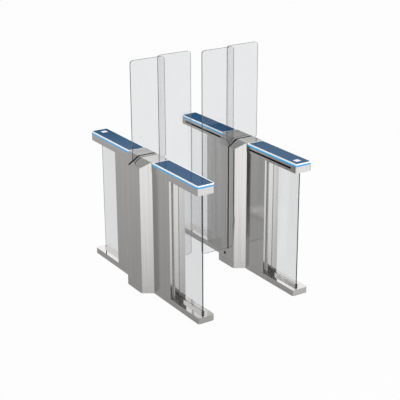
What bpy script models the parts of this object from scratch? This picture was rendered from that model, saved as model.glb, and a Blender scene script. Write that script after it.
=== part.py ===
"""Sliding gate turnstile: two pedestals that stand on either side of a walkway.

Each pedestal carries a fixed glass screen and a tall glass leaf that slides out to close the walkway.
Metres, +Z up. The origin is on the floor in the middle of the walkway: X runs across it and Y along it.
A pedestal is drawn in its own frame, with the walkway on its +X side and its leaf on the +Y side of its
middle. The left one stands as it is drawn and the right one is the same thing turned half a turn.
"""

import math
from collections import namedtuple

import bmesh
import bpy
from mathutils import Matrix, Vector

# Walkway and outline of a pedestal
LANE_WIDTH = 0.550
PEDESTAL_LENGTH = 1.580
HOUSING_WIDTH = 0.138
HOUSING_LENGTH = 0.806
BULGE_FACE = 0.212
BULGE_FOOT = 0.327
BULGE_BEND = 0.025
RAIL_TOP = 1.060
GLASS_TOP = 1.800

# Gaps, walls and cuts that several pieces share
SEAT_GAP = 0.0003
RUNNING_GAP = 0.0006
SHEET = 0.0025
PANEL_SEAM = 0.0006
OVERRUN = 0.020
WELD = 0.00001
BITE = 0.001
ARC_STEPS = 4
ROUND_STEPS = 16
HOLE_STEPS = 12
SMOOTH_ANGLE = math.radians(30)

# Plinth
PLINTH_HEIGHT = 0.048
PLINTH_CORNER = 0.018
PLINTH_WALL = 0.004
CABLE_SLOT_WIDTH = 0.070
CABLE_SLOT_LENGTH = 0.120
CABLE_SLOT_FROM_END = 0.143

# Covers
COVER_RETURN = 0.025
SLOT_WIDTH = 0.020
SLOT_LOW_END = 0.144
SLOT_CORNER = 0.009

# Roof
CAP_LENGTH = 0.352
ROOF_DROP = 0.053
ROOF_FLANGE = 0.011
ROOF_BRIDGE = 0.006
GROOVE_CLEARANCE = 0.0015

# Rails
RAIL_WIDTH = 0.146
RAIL_HEIGHT = 0.072
RAIL_CORNER = 0.020
RAIL_WALL = 0.005
RAIL_FLOOR = 0.003
TOP_GLASS = 0.008
TOP_GLASS_EDGE = 0.001
LIGHT_HEIGHT = 0.012
LIGHT_DEPTH = 0.009
WINDOW_HEIGHT = 0.016
WINDOW_CORNER = 0.006
WINDOW_DEPTH = 0.0035
WINDOW_MIDDLE_BELOW_TOP = 0.044
WINDOW_INNER_END = 0.198
WINDOW_OUTER_SETBACK = 0.062

# Side glass
SIDE_GLASS = 0.010
SIDE_GLASS_SETBACK = 0.050
SIDE_GLASS_CORNER = 0.004
CHANNEL_WIDTH = 0.024
CHANNEL_HEIGHT = 0.020
CHANNEL_FLOOR = 0.004
RAIL_REBATE = 0.012

# Screens
SCREEN_GLASS = 0.010
SCREEN_CORNER = 0.026
LEAF_PLANE = 0.030
LEAF_BOTTOM = 0.154
LEAF_GAP = 0.062
LEAF_HELD = 0.044
POCKET_ROOM = 0.016
FIXED_PLANE = -0.009
FIXED_SINK = 0.033
TONGUE_WIDTH = 0.110
TONGUE_DEPTH = 0.095
CLAMP_HOLE = 0.014
CLAMP_BOLT = 0.010
BOLT_HEAD = 0.017
BOLT_HEAD_HEIGHT = 0.006

# Seals along the slot
SEAL_WIDTH = 0.010
SEAL_DEPTH = 0.012
SEAL_CLEARANCE = 0.0007
SEAL_FOOT = 0.010

# Frame inside the housing
FRAME_PLATE = 0.004
END_POST = 0.020
POST_CORNER = 0.003
FOOT_PLATE = 0.006
TOP_PLATE = 0.005
BULKHEAD = 0.004
NEAR_BULKHEAD_PLACE = 0.041
DRIVE_PLATE_PLACE = 0.076
DRIVE_PLATE_INSET = 0.006
FRAME_INSET = 0.007

# Clamp of the fixed screen
FIXED_CLAMP_WIDTH = 0.120
FIXED_CLAMP_HEIGHT = 0.080
FIXED_CLAMP_PLATE = 0.008
FIXED_CLAMP_BELOW_GLASS = 0.016
FIXED_BOLT_SPACING = 0.060

# Leaf carriage
CARRIAGE_WIDTH = 0.028
CARRIAGE_PLATE = 0.008
CARRIAGE_BOTTOM = 0.170
CARRIAGE_TOP = 0.900
CARRIAGE_LEAD = 0.002
CLAMP_BOLT_HEIGHTS_SHARES = (0.08, 0.36, 0.64, 0.92)
BLOCK_LENGTH = 0.032
BLOCK_HEIGHT = 0.036
BLOCK_OVER_RAIL = 0.010

# Guide rails
GUIDE_HEIGHT = 0.014
GUIDE_DEPTH = 0.015
GUIDE_LOW = 0.230
GUIDE_HIGH = 0.830
GUIDE_INSET = 0.004
STOP_OVER_GUIDE = 0.005
STOP_DEPTH = 0.0097
STOP_GAP = 0.001

# Belt drive
BELT_WIDTH = 0.010
BELT_THICKNESS = 0.002
BELT_PLACE = 0.056
BELT_LINE = 0.620
DRIVE_DROP = 0.110
IDLER_RADIUS = 0.012
IDLER_FROM_FACE = 0.023
IDLER_BORE = 0.0086
IDLER_PIN = 0.008
DRIVE_RADIUS = 0.020
FLANGE_RISE = 0.0015
FLANGE_THICKNESS = 0.002
SHAFT = 0.010
SHAFT_HOLE = 0.022
SHAFT_LENGTH_IN_MOTOR = 0.014
BELT_JAW_WIDTH = 0.016
BELT_JAW_HEIGHT = 0.010
GEARBOX_SIZE = 0.062
GEARBOX_LENGTH = 0.045
GEARBOX_EDGE = 0.003
MOTOR_DIAMETER = 0.056
MOTOR_LENGTH = 0.095
MOTOR_CAP_DIAMETER = 0.044
MOTOR_CAP_LENGTH = 0.022
CONTROLLER_WIDTH = 0.050
CONTROLLER_HEIGHT = 0.034

# Lock
LOCK_HEIGHT = 0.095
LOCK_PLACE = -0.012
LOCK_FLANGE = 0.024
LOCK_FLANGE_THICKNESS = 0.002
LOCK_BARREL = 0.018
LOCK_LENGTH = 0.024
LOCK_CYLINDER = 0.012
LOCK_CYLINDER_PROUD = 0.0005
KEYWAY_WIDTH = 0.002
KEYWAY_LENGTH = 0.008
KEYWAY_DEPTH = 0.016
LOCK_CAM_LENGTH = 0.022
LOCK_CAM_WIDTH = 0.012
LOCK_CAM_THICKNESS = 0.003

# Reader under the glass
READER_LENGTH = 0.090
READER_WIDTH = 0.080
READER_PLATE = 0.012
READER_LEG = 0.008
READER_FROM_END = 0.075
READER_OFFSET = 0.008

# Holes for the floor anchors
ANCHOR_HOLE = 0.014
ANCHOR_X = 0.045
ANCHOR_FROM_END = 0.063

# Places that follow from the sizes above
LEAF_TRAVEL = (LANE_WIDTH - LEAF_GAP) / 2
SCREEN_WIDTH = LEAF_TRAVEL + LEAF_HELD
BULGE_WIDTH = SCREEN_WIDTH + POCKET_ROOM
PEDESTAL_PITCH = LANE_WIDTH + BULGE_WIDTH
HALF_LENGTH = PEDESTAL_LENGTH / 2
HALF_HOUSING = HOUSING_LENGTH / 2
END_FACE = HALF_HOUSING + END_POST
HALF_WIDTH = HOUSING_WIDTH / 2
HALF_BULGE = BULGE_WIDTH / 2
HALF_RAIL = RAIL_WIDTH / 2
HALF_CAP = CAP_LENGTH / 2
CABLE_SLOT_PLACE = HALF_HOUSING - CABLE_SLOT_FROM_END
ANCHOR_Y = HALF_HOUSING - ANCHOR_FROM_END
RAIL_BOTTOM = RAIL_TOP - RAIL_HEIGHT
LIGHT_TOP = RAIL_TOP - TOP_GLASS - SEAT_GAP
LIGHT_BOTTOM = LIGHT_TOP - LIGHT_HEIGHT + SEAT_GAP
BODY_TOP = LIGHT_BOTTOM - SEAT_GAP
RAIL_INNER_END = BULGE_FOOT / 2 + 3 * SEAT_GAP
CHAMFER_SLOPE = (BULGE_FOOT - BULGE_FACE) / (BULGE_WIDTH - HOUSING_WIDTH)
ROOF_SLOPE = ROOF_DROP / (HALF_BULGE - HALF_RAIL)
EAVE = RAIL_TOP - ROOF_DROP - ROOF_FLANGE
COVER_BOTTOM = PLINTH_HEIGHT + PANEL_SEAM
FRAME_TOP = RAIL_BOTTOM - SEAT_GAP
LEAF_REACH = HALF_BULGE + LEAF_TRAVEL
LEAF_TAIL = LEAF_REACH - SCREEN_WIDTH
CARRIAGE_TAIL = LEAF_TAIL - CARRIAGE_LEAD
LEAF_FRONT = LEAF_PLANE - SCREEN_GLASS / 2
LEAF_BACK = LEAF_PLANE + SCREEN_GLASS / 2
CARRIAGE_BACK = LEAF_BACK + SEAT_GAP + CARRIAGE_PLATE
FIXED_BOTTOM = RAIL_TOP - FIXED_SINK
IDLER_PLACE = HALF_BULGE - IDLER_FROM_FACE
DRIVE_LINE = BELT_LINE - DRIVE_DROP

Unit = namedtuple("Unit", "name frame")


def clear_scene():
    for thing in list(bpy.data.objects):
        bpy.data.objects.remove(thing)


def new_collection(name):
    made = bpy.data.collections.new(name)
    bpy.context.scene.collection.children.link(made)
    return made


clear_scene()
PARTS = new_collection("sliding_gate_turnstile")
CUTTERS = new_collection("cutters")
CUTTERS.hide_render = True


def finish(name, colour, roughness, metallic=0.0, alpha=1.0, glow=0.0):
    """A Principled material. The colour is linear RGB."""
    made = bpy.data.materials.new(name)
    made.use_nodes = True
    shader = made.node_tree.nodes["Principled BSDF"]
    shader.inputs["Base Color"].default_value = (*colour, 1)
    shader.inputs["Roughness"].default_value = roughness
    shader.inputs["Metallic"].default_value = metallic
    shader.inputs["Alpha"].default_value = alpha
    shader.inputs["Emission Color"].default_value = (*colour, 1)
    shader.inputs["Emission Strength"].default_value = glow
    made.diffuse_color = (*colour, 1)
    return made


def brushed_steel(piece):
    return finish(f"{piece}_brushed_steel", (0.50, 0.49, 0.48), 0.32, metallic=1.0)


def galvanised_steel(piece):
    return finish(f"{piece}_galvanised_steel", (0.42, 0.43, 0.44), 0.45, metallic=1.0)


def bright_steel(piece):
    return finish(f"{piece}_bright_steel", (0.62, 0.62, 0.62), 0.2, metallic=1.0)


def anodised_aluminium(piece):
    return finish(f"{piece}_anodised_aluminium", (0.55, 0.56, 0.57), 0.38, metallic=1.0)


def clear_glass(piece):
    return finish(f"{piece}_clear_glass", (0.80, 0.84, 0.86), 0.03, alpha=0.3)


def blue_glass(piece):
    return finish(f"{piece}_blue_glass", (0.012, 0.060, 0.165), 0.06)


def light_guide_acrylic(piece):
    return finish(f"{piece}_acrylic", (0.036, 0.352, 0.855), 0.3, glow=1.0)


def black_acrylic(piece):
    return finish(f"{piece}_black_acrylic", (0.010, 0.010, 0.011), 0.12)


def black_rubber(piece):
    return finish(f"{piece}_black_rubber", (0.012, 0.012, 0.012), 0.75)


def black_enamel(piece):
    return finish(f"{piece}_black_enamel", (0.020, 0.020, 0.022), 0.45)


def grey_plastic(piece):
    return finish(f"{piece}_grey_plastic", (0.20, 0.21, 0.22), 0.5)


def chromed_brass(piece):
    return finish(f"{piece}_chromed_brass", (0.70, 0.70, 0.70), 0.15, metallic=1.0)


def rounded(corners, closed=True):
    """Points along an outline. A corner is (x, y) or (x, y, radius), and a radius makes it an arc."""
    points = []
    count = len(corners)
    for index, corner in enumerate(corners):
        here = Vector(corner[:2])
        radius = corner[2] if len(corner) > 2 else 0
        at_end = not closed and index in (0, count - 1)
        if not radius or at_end:
            points.append(tuple(here))
            continue
        back = (Vector(corners[index - 1][:2]) - here).normalized()
        ahead = (Vector(corners[(index + 1) % count][:2]) - here).normalized()
        half_angle = back.angle(ahead) / 2
        centre = here + (back + ahead).normalized() * radius / math.sin(half_angle)
        start = here + back * radius / math.tan(half_angle) - centre
        sweep = math.copysign(math.pi - 2 * half_angle, -(back.x * ahead.y - back.y * ahead.x))
        for step in range(ARC_STEPS + 1):
            turn = Matrix.Rotation(sweep * step / ARC_STEPS, 2)
            points.append(tuple(centre + turn @ start))
    return points


def rectangle(x_low, x_high, y_low, y_high, radius=0):
    corners = ((x_low, y_low), (x_high, y_low), (x_high, y_high), (x_low, y_high))
    return rounded([(*corner, radius) for corner in corners])


def circle(x, y, diameter, steps=ROUND_STEPS):
    angles = [math.tau * step / steps for step in range(steps)]
    return [(x + diameter / 2 * math.cos(a), y + diameter / 2 * math.sin(a)) for a in angles]


def evaluated(thing):
    """The mesh of a curve or of an object with modifiers. The object itself is removed."""
    PARTS.objects.link(thing)
    bpy.context.view_layer.update()
    graph = bpy.context.evaluated_depsgraph_get()
    mesh = bpy.data.meshes.new_from_object(thing.evaluated_get(graph))
    bpy.data.objects.remove(thing)
    return mesh


def welded(mesh):
    """Joins the loose caps of a mesh and points its faces outwards."""
    work = bmesh.new()
    work.from_mesh(mesh)
    bmesh.ops.remove_doubles(work, verts=work.verts, dist=WELD)
    bmesh.ops.recalc_face_normals(work, faces=work.faces)
    work.to_mesh(mesh)
    work.free()
    return mesh


def line_curve(paths, half_depth, closed):
    """A flat curve object in XY, filled where its paths are closed, with depth along Z."""
    curve = bpy.data.curves.new("outline", "CURVE")
    curve.dimensions = "2D"
    curve.fill_mode = "BOTH" if closed else "NONE"
    curve.extrude = half_depth
    for path in paths:
        spline = curve.splines.new("POLY")
        spline.points.add(len(path) - 1)
        for point, (x, y) in zip(spline.points, path):
            point.co = (x, y, 0, 1)
        spline.use_cyclic_u = closed
    return bpy.data.objects.new("outline", curve)


def turned(profile, closed=False):
    """A mesh turned about Z from (radius, height) points that run down the outer side."""
    work = bmesh.new()
    verts = [work.verts.new((radius, 0, height)) for radius, height in profile]
    for first, second in zip(verts, verts[1:] + verts[:1] if closed else verts[1:]):
        work.edges.new((first, second))
    mesh = bpy.data.meshes.new("profile")
    work.to_mesh(mesh)
    work.free()
    lathe = bpy.data.objects.new("profile", mesh)
    screw = lathe.modifiers.new("turn", "SCREW")
    screw.steps = ROUND_STEPS
    screw.render_steps = ROUND_STEPS
    screw.use_merge_vertices = True
    screw.merge_threshold = WELD
    return welded(evaluated(lathe))


def add(unit, name, mesh, location=(0, 0, 0), rotation=(0, 0, 0)):
    """An object in a pedestal's frame, or in the world's where there is no unit."""
    thing = bpy.data.objects.new(f"{unit.name}_{name}" if unit else name, mesh)
    thing.parent = unit.frame if unit else None
    thing.location = location
    thing.rotation_euler = rotation
    return thing


def shade(mesh):
    mesh.shade_smooth()
    mesh.set_sharp_from_angle(angle=SMOOTH_ANGLE)


def as_part(thing, material):
    PARTS.objects.link(thing)
    thing.data.materials.clear()
    thing.data.materials.append(material)
    shade(thing.data)
    return thing


def as_cutter(thing):
    CUTTERS.objects.link(thing)
    thing.hide_render = True
    thing.display_type = "WIRE"
    return thing


def boolean(thing, other, operation):
    change = thing.modifiers.new(other.name, "BOOLEAN")
    change.operation = operation
    change.solver = "EXACT"
    change.object = as_cutter(other)


def cut(thing, *others):
    for other in others:
        boolean(thing, other, "DIFFERENCE")


def join(thing, *others):
    for other in others:
        boolean(thing, other, "UNION")


def bevel(thing, width, segments=1):
    """Rounds the sharp edges of an object."""
    edge = thing.modifiers.new("edges", "BEVEL")
    edge.width = width
    edge.segments = segments
    edge.limit_method = "ANGLE"
    edge.angle_limit = SMOOTH_ANGLE


def box(unit, name, low, high):
    """A box between two corners."""
    low = Vector(low)
    high = Vector(high)
    work = bmesh.new()
    bmesh.ops.create_cube(work, size=1)
    bmesh.ops.scale(work, vec=high - low, verts=work.verts)
    mesh = bpy.data.meshes.new(name)
    work.to_mesh(mesh)
    work.free()
    return add(unit, name, mesh, location=(low + high) / 2)


def plate_up(unit, name, paths, low, high):
    """A plate whose outline lies in XY, between two heights."""
    mesh = welded(evaluated(line_curve(paths, (high - low) / 2, closed=True)))
    return add(unit, name, mesh, location=(0, 0, (low + high) / 2))


def plate_along_y(unit, name, paths, low, high):
    """A plate whose outline lies in XZ, between two places along Y."""
    mesh = welded(evaluated(line_curve(paths, (high - low) / 2, closed=True)))
    return add(unit, name, mesh, location=(0, (low + high) / 2, 0), rotation=(math.pi / 2, 0, 0))


def plate_along_x(unit, name, paths, low, high):
    """A plate whose outline lies in YZ, between two places along X."""
    mesh = welded(evaluated(line_curve(paths, (high - low) / 2, closed=True)))
    turn = (math.pi / 2, 0, math.pi / 2)
    return add(unit, name, mesh, location=((low + high) / 2, 0, 0), rotation=turn)


def rod_along_y(unit, name, x, z, diameter, low, high, steps=ROUND_STEPS):
    return plate_along_y(unit, name, [circle(x, z, diameter, steps)], low, high)


def folded(unit, name, path, low, high, standing):
    """Sheet metal bent along a path. It stands with its folds upright, or lies with its folds along Y.

    The path is the outer face, and the thickness lies to the right of the path's direction.
    """
    mesh = evaluated(line_curve([path], (high - low) / 2, closed=False))
    if standing:
        thing = add(unit, name, mesh, location=(0, 0, (low + high) / 2))
    else:
        thing = add(unit, name, mesh, location=(0, (low + high) / 2, 0), rotation=(math.pi / 2, 0, 0))
    wall = thing.modifiers.new("wall", "SOLIDIFY")
    wall.thickness = SHEET
    wall.offset = -1
    wall.use_even_offset = True
    return thing


def mirrored(points):
    """The same outline on the other side of the Y axis, in the same order round it."""
    return [(-corner[0], *corner[1:]) for corner in reversed(points)]


def flipped(points):
    """The same outline on the other side of the X axis, in the same order round it."""
    return [(corner[0], -corner[1], *corner[2:]) for corner in reversed(points)]


def roof_height(x):
    """Height of the roof's upper face at a distance from the pedestal's middle."""
    return RAIL_TOP - ROOF_SLOPE * max(0, abs(x) - HALF_RAIL)


def bulge_side(inset, bend):
    """Corners of the walkway side of the housing in plan, from its far end to its near end."""
    face = HALF_BULGE - inset
    flank = HALF_WIDTH - inset
    shift = inset * (math.sqrt(1 + CHAMFER_SLOPE ** 2) - CHAMFER_SLOPE)
    face_end = BULGE_FACE / 2 - shift
    foot_end = BULGE_FOOT / 2 - shift
    return [(flank, foot_end), (face, face_end, bend), (face, -face_end, bend), (flank, -foot_end)]


def pedestal_outline(inset):
    """The whole pedestal in plan, drawn in by an inset."""
    flank = HALF_WIDTH - inset
    end = HALF_LENGTH - inset
    corner = PLINTH_CORNER - inset
    half = [(flank, end, corner), *bulge_side(inset, BULGE_BEND - inset), (flank, -end, corner)]
    return rounded(half + mirrored(half))


def anchor_places():
    return [(x, y) for x in (-ANCHOR_X, ANCHOR_X) for y in (-ANCHOR_Y, ANCHOR_Y)]


def cable_slot_path(side):
    """The slot in plan through which the cables come up from the floor."""
    half_width = CABLE_SLOT_WIDTH / 2
    half_length = CABLE_SLOT_LENGTH / 2
    low, high = side_span(side, CABLE_SLOT_PLACE - half_length, CABLE_SLOT_PLACE + half_length)
    return rectangle(-half_width, half_width, low, high, half_width / 2)


def plinth(unit):
    """A hollow base with the pedestal's outline, cable slots and the channels for the side glass."""
    base = plate_up(unit, "plinth", [pedestal_outline(0)], 0, PLINTH_HEIGHT)
    hollow = plate_up(unit, "plinth_hollow", [pedestal_outline(PLINTH_WALL)],
                      PLINTH_WALL, PLINTH_HEIGHT - PLINTH_WALL)
    cut(base, hollow)
    for index, (x, y) in enumerate(anchor_places()):
        hole = plate_up(unit, f"plinth_anchor_hole_{index}", [circle(x, y, ANCHOR_HOLE, HOLE_STEPS)],
                        -OVERRUN, PLINTH_HEIGHT + OVERRUN)
        cut(base, hole)
    half = CHANNEL_WIDTH / 2
    glass_room = SIDE_GLASS / 2 + SEAT_GAP
    for side in (-1, 1):
        cut(base, plate_up(unit, f"plinth_cable_slot_{side}", [cable_slot_path(side)],
                           -OVERRUN, PLINTH_HEIGHT + OVERRUN))
        low, high = side_span(side, END_FACE + SEAT_GAP, side_glass_end())
        join(base, box(unit, f"glass_channel_{side}", (-half, low, PLINTH_HEIGHT - BITE),
                       (half, high, PLINTH_HEIGHT + CHANNEL_HEIGHT)))
        cut(base, box(unit, f"glass_channel_room_{side}",
                      (-glass_room, low - OVERRUN, PLINTH_HEIGHT + CHANNEL_FLOOR),
                      (glass_room, high + OVERRUN, PLINTH_HEIGHT + CHANNEL_HEIGHT + OVERRUN)))
    return as_part(base, brushed_steel("plinth"))


def inner_frame(unit):
    """A welded frame: foot plate, end posts, two cross walls, top plates and the idlers' pins."""
    flank = HALF_WIDTH - FRAME_INSET
    foot_top = COVER_BOTTOM + FOOT_PLATE
    inner_end = HALF_HOUSING - FRAME_PLATE
    half_post = HALF_WIDTH - COVER_RETURN - PANEL_SEAM
    near_wall = (-NEAR_BULKHEAD_PLACE - BULKHEAD, -NEAR_BULKHEAD_PLACE)
    drive_wall = (DRIVE_PLATE_PLACE, DRIVE_PLATE_PLACE + BULKHEAD)
    frame = box(unit, "inner_frame", (-flank, -inner_end - BITE, COVER_BOTTOM),
                (flank, inner_end + BITE, foot_top))
    for side in (-1, 1):
        low, high = side_span(side, inner_end, END_FACE)
        post = rectangle(-half_post, half_post, low, high, POST_CORNER)
        join(frame, plate_up(unit, f"end_post_{side}", [post], COVER_BOTTOM, FRAME_TOP))
        low, high = side_span(side, inner_end - OVERRUN, END_FACE - FRAME_PLATE)
        cut(frame, box(unit, f"end_post_room_{side}", (-half_post + FRAME_PLATE, low, foot_top),
                       (half_post - FRAME_PLATE, high, FRAME_TOP - TOP_PLATE)))
    reach = HALF_BULGE - DRIVE_PLATE_INSET
    for name, half, (low, high) in (("near_wall", flank, near_wall), ("drive_wall", reach, drive_wall)):
        join(frame, box(unit, name, (-half, low, COVER_BOTTOM), (half, high, FRAME_TOP)))
    top_plates = ((-inner_end - BITE, near_wall[0] + BITE), (drive_wall[1] - BITE, inner_end + BITE))
    for index, (low, high) in enumerate(top_plates):
        join(frame, box(unit, f"top_plate_{index}", (-flank, low, FRAME_TOP - TOP_PLATE),
                        (flank, high, FRAME_TOP)))
    for side in (-1, 1):
        pin = rod_along_y(unit, f"idler_pin_{side}", side * IDLER_PLACE, BELT_LINE, IDLER_PIN,
                          BELT_PLACE - BELT_WIDTH / 2, DRIVE_PLATE_PLACE + BITE)
        join(frame, pin)
    cut(frame, rod_along_y(unit, "shaft_hole", 0, DRIVE_LINE, SHAFT_HOLE,
                           DRIVE_PLATE_PLACE - OVERRUN, DRIVE_PLATE_PLACE + OVERRUN))
    for side in (-1, 1):
        cut(frame, plate_up(unit, f"frame_cable_slot_{side}", [cable_slot_path(side)],
                            COVER_BOTTOM - OVERRUN, COVER_BOTTOM + OVERRUN))
    for index, (x, y) in enumerate(anchor_places()):
        hole = plate_up(unit, f"frame_anchor_hole_{index}", [circle(x, y, ANCHOR_HOLE, HOLE_STEPS)],
                        COVER_BOTTOM - OVERRUN, COVER_BOTTOM + OVERRUN)
        cut(frame, hole)
    return as_part(frame, brushed_steel("inner_frame"))


def cover_path():
    """The bent sheet on the walkway side, in plan, with a return round each end of the housing."""
    tip = HALF_WIDTH - COVER_RETURN
    far_end = [(tip, HALF_HOUSING), (HALF_WIDTH, HALF_HOUSING)]
    near_end = [(HALF_WIDTH, -HALF_HOUSING), (tip, -HALF_HOUSING)]
    return far_end + bulge_side(0, BULGE_BEND) + near_end


def below_roof(depth):
    """Two points in XZ at a depth under the roof's upper face: at its walkway fold and at its eave."""
    stretch = math.sqrt(1 + ROOF_SLOPE ** 2)
    fold = HALF_RAIL - depth * (stretch - 1) / ROOF_SLOPE
    eave = HALF_BULGE - depth
    return [(fold, RAIL_TOP - depth), (eave, roof_height(eave) - depth * stretch)]


def above_cover_path():
    """An outline in XZ of all that lies above the roof's lower face and its eaves."""
    fold, eave = below_roof(SHEET + SEAT_GAP)
    low = EAVE - SEAT_GAP
    far_x = HALF_BULGE + OVERRUN
    right = [fold, eave, (eave[0], low), (far_x, low), (far_x, RAIL_TOP + OVERRUN)]
    return right + mirrored(right)


def cover(unit, name, path):
    """A side cover of bent sheet. Its top follows the roof and steps down under the rails."""
    sheet = folded(unit, name, rounded(path, closed=False), COVER_BOTTOM, RAIL_TOP, standing=True)
    cut(sheet, plate_along_y(unit, f"{name}_under_roof", [above_cover_path()],
                             -RAIL_INNER_END, RAIL_INNER_END))
    reach = HALF_BULGE + OVERRUN
    for side in (-1, 1):
        low, high = side_span(side, BULGE_FOOT / 2 + SEAT_GAP, HALF_HOUSING + OVERRUN)
        cut(sheet, box(unit, f"{name}_under_rail_{side}", (-reach, low, FRAME_TOP),
                       (reach, high, RAIL_TOP + OVERRUN)))
    return sheet


def raised_end_path():
    """The raised inner end of a rail in XZ, which fills the fold of the roof."""
    fold = below_roof(SHEET + SEAT_GAP)[0]
    flank = HALF_RAIL - SEAT_GAP
    right = [fold, (flank, fold[1] - ROOF_SLOPE * (flank - fold[0])), (flank, BODY_TOP - BITE)]
    return right + mirrored(right)


def outer_cover(unit):
    """The side cover away from the walkway."""
    return as_part(cover(unit, "outer_cover", mirrored(cover_path())), brushed_steel("outer_cover"))


def lane_cover(unit):
    """The side cover towards the walkway, with the leaf's slot and the hole for the lock."""
    sheet = cover(unit, "lane_cover", cover_path())
    slot = rectangle(LEAF_PLANE - SLOT_WIDTH / 2, LEAF_PLANE + SLOT_WIDTH / 2,
                     SLOT_LOW_END, RAIL_TOP + SLOT_WIDTH, SLOT_CORNER)
    cut(sheet, plate_along_x(unit, "leaf_slot", [slot], HALF_BULGE - OVERRUN, HALF_BULGE + OVERRUN))
    hole = circle(LOCK_PLACE, LOCK_HEIGHT, LOCK_BARREL + 2 * SEAT_GAP)
    cut(sheet, plate_along_x(unit, "lock_hole", [hole], HALF_BULGE - OVERRUN, HALF_BULGE + OVERRUN))
    return as_part(sheet, brushed_steel("lane_cover"))


def chamfer_y(x):
    """How far the chamfered corner of the housing reaches along Y at a place across it."""
    return BULGE_FOOT / 2 - CHAMFER_SLOPE * (abs(x) - HALF_WIDTH)


def roof(unit):
    """The folded roof, trimmed to the chamfers, with the slot of the leaf and the groove of the screen."""
    fold = roof_height(HALF_BULGE)
    half = [(HALF_RAIL, RAIL_TOP), (HALF_BULGE, fold), (HALF_BULGE, EAVE)]
    sheet = folded(unit, "roof", mirrored(half) + half, -HALF_CAP, HALF_CAP, standing=False)
    outer_x = HALF_BULGE + OVERRUN
    outer_y = HALF_CAP + OVERRUN
    face_end = BULGE_FACE / 2
    bend_end = face_end - BULGE_BEND
    corner = rounded([(HALF_RAIL, chamfer_y(HALF_RAIL)), (HALF_RAIL, outer_y), (outer_x, outer_y),
                      (outer_x, bend_end), (HALF_BULGE, bend_end), (HALF_BULGE, face_end, BULGE_BEND)])
    for index, path in enumerate((corner, mirrored(corner), flipped(corner), mirrored(flipped(corner)))):
        cut(sheet, plate_up(unit, f"roof_corner_{index}", [path], EAVE - OVERRUN, RAIL_TOP + OVERRUN))
    near_edge = LEAF_PLANE - SLOT_WIDTH / 2
    far_edge = LEAF_PLANE + SLOT_WIDTH / 2
    top = RAIL_TOP + OVERRUN
    cut(sheet, box(unit, "roof_slot", (-outer_x, near_edge, EAVE + ROOF_BRIDGE), (outer_x, far_edge, top)))
    cut(sheet, box(unit, "eave_slot", (HALF_RAIL, near_edge, EAVE - OVERRUN), (outer_x, far_edge, top)))
    reach = HALF_RAIL + (FIXED_SINK + GROOVE_CLEARANCE) / ROOF_SLOPE + 2 * GROOVE_CLEARANCE
    half_groove = SCREEN_GLASS / 2 + GROOVE_CLEARANCE
    groove = ((-reach, FIXED_PLANE - half_groove, EAVE - OVERRUN), (reach, FIXED_PLANE + half_groove, top))
    cut(sheet, box(unit, "screen_groove", *groove))
    return as_part(sheet, brushed_steel("roof"))


def seal_path():
    """A band in XZ that runs under the roof from the outer eave and down the walkway face beside the slot."""
    outer = below_roof(SHEET + SEAT_GAP)
    inner = below_roof(SHEET + SEAT_GAP + SEAL_DEPTH)
    low = SLOT_LOW_END - SEAL_FOOT
    over = [(-outer[1][0], EAVE), *mirrored(outer), *outer, (outer[1][0], low)]
    under = [(-inner[1][0], EAVE), *mirrored(inner), *inner, (inner[1][0], low)]
    return over + under[::-1]


def slot_seal(unit):
    """A rubber trim round the leaf's slot: a strip along each edge and a foot that joins them."""
    near_lip = LEAF_FRONT - SEAL_CLEARANCE
    far_lip = LEAF_BACK + SEAL_CLEARANCE
    seal = plate_along_y(unit, "slot_seal", [seal_path()], near_lip - SEAL_WIDTH, near_lip)
    join(seal, plate_along_y(unit, "far_seal", [seal_path()], far_lip, far_lip + SEAL_WIDTH))
    inner = below_roof(SHEET + SEAT_GAP + SEAL_DEPTH)[1][0]
    outer = below_roof(SHEET + SEAT_GAP)[1][0]
    foot = ((inner, near_lip - BITE, SLOT_LOW_END - SEAL_FOOT), (outer, far_lip + BITE, SLOT_LOW_END))
    join(seal, box(unit, "seal_foot", *foot))
    return as_part(seal, black_rubber("slot_seal"))


def fixed_screen(unit):
    """The fixed glass, with a tongue that the clamp holds below the roof."""
    half = SCREEN_WIDTH / 2
    neck = TONGUE_WIDTH / 2
    low = FIXED_BOTTOM - TONGUE_DEPTH
    corner = SCREEN_CORNER
    path = rounded([(-half, GLASS_TOP, corner), (half, GLASS_TOP, corner), (half, FIXED_BOTTOM, corner),
                    (neck, FIXED_BOTTOM), (neck, low), (-neck, low), (-neck, FIXED_BOTTOM),
                    (-half, FIXED_BOTTOM, corner)])
    holes = [circle(x, fixed_bolt_height(), CLAMP_HOLE, HOLE_STEPS) for x in fixed_bolt_places()]
    glass = plate_along_y(unit, "fixed_screen", [path, *holes],
                          FIXED_PLANE - SCREEN_GLASS / 2, FIXED_PLANE + SCREEN_GLASS / 2)
    return as_part(glass, clear_glass("fixed_screen"))


def fixed_bolt_height():
    return FIXED_BOTTOM - FIXED_CLAMP_BELOW_GLASS - FIXED_CLAMP_HEIGHT / 2


def fixed_bolt_places():
    return (-FIXED_BOLT_SPACING / 2, FIXED_BOLT_SPACING / 2)


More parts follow.
